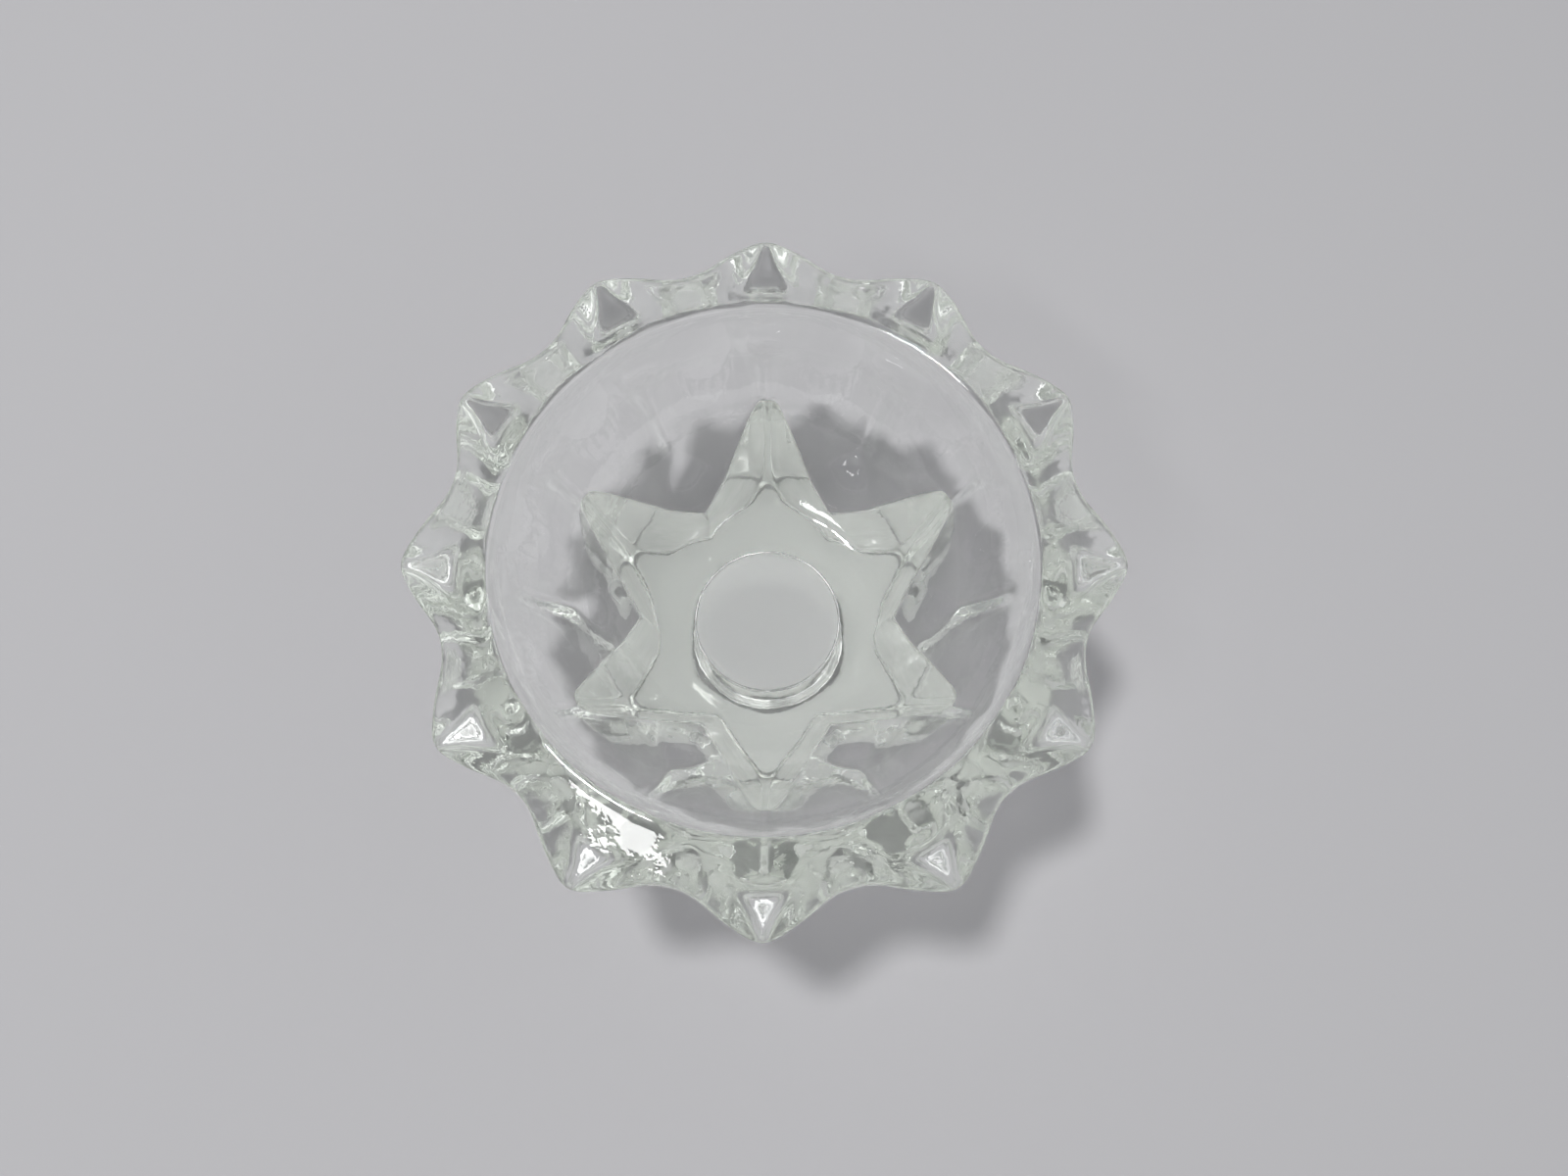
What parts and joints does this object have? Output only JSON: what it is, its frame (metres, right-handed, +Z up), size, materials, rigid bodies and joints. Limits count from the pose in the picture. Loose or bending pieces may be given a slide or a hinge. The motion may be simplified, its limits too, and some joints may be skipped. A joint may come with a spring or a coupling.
{
  "type": "tealight holder",
  "caption": "Clear pressed-glass tealight bowl with a petalled rim on a star foot; turned over, its underside socket holds a taper candle.",
  "frame": {"origin": "middle of the flat face of the star foot, on the surface that the holder stands on", "axes": "+Z up along the axis of the bowl; a petal tip lies on +X and a point of the star on +Y"},
  "size_m": [0.096, 0.096, 0.055],
  "materials": {
    "clear_glass": "gloss, pressed and fire-polished soda-lime glass with a faint green tint"
  },
  "bodies": {
    "root": {"holder_glass": "clear_glass"}
  },
  "joints": []
}
